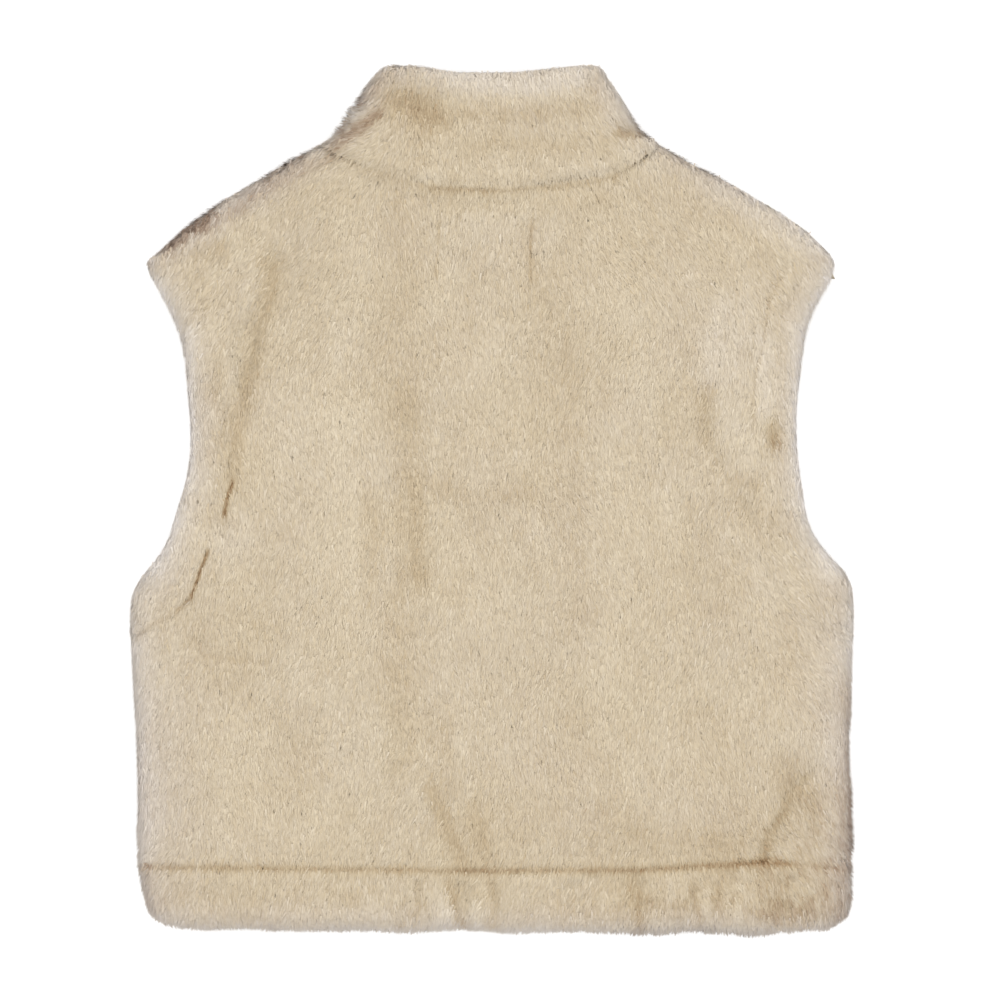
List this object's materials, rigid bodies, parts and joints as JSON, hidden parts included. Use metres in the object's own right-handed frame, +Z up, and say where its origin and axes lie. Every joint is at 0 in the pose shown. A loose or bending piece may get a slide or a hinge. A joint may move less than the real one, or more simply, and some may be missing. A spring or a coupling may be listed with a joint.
{
  "type": "faux fur vest",
  "caption": "Cropped faux fur vest with a stand collar, dropped shoulders, banded armholes and a hem band, lying flat on its front.",
  "frame": {"origin": "middle of the vest's outline, on the surface it lies on", "axes": "+Y towards the collar, +X to the right as seen from above, +Z up, out of the back"},
  "size_m": [0.55, 0.6592, 0.0288],
  "materials": {
    "faux_fur": "dense short beige plush pile, matt with a soft pale sheen on its tips, nap running down"
  },
  "bodies": {
    "root": {"back": "faux_fur", "front_left": "faux_fur", "front_right": "faux_fur", "collar": "faux_fur", "armhole_band_left": "faux_fur", "armhole_band_right": "faux_fur", "hem_band_back": "faux_fur", "hem_band_front_left": "faux_fur", "hem_band_front_right": "faux_fur"}
  },
  "joints": []
}
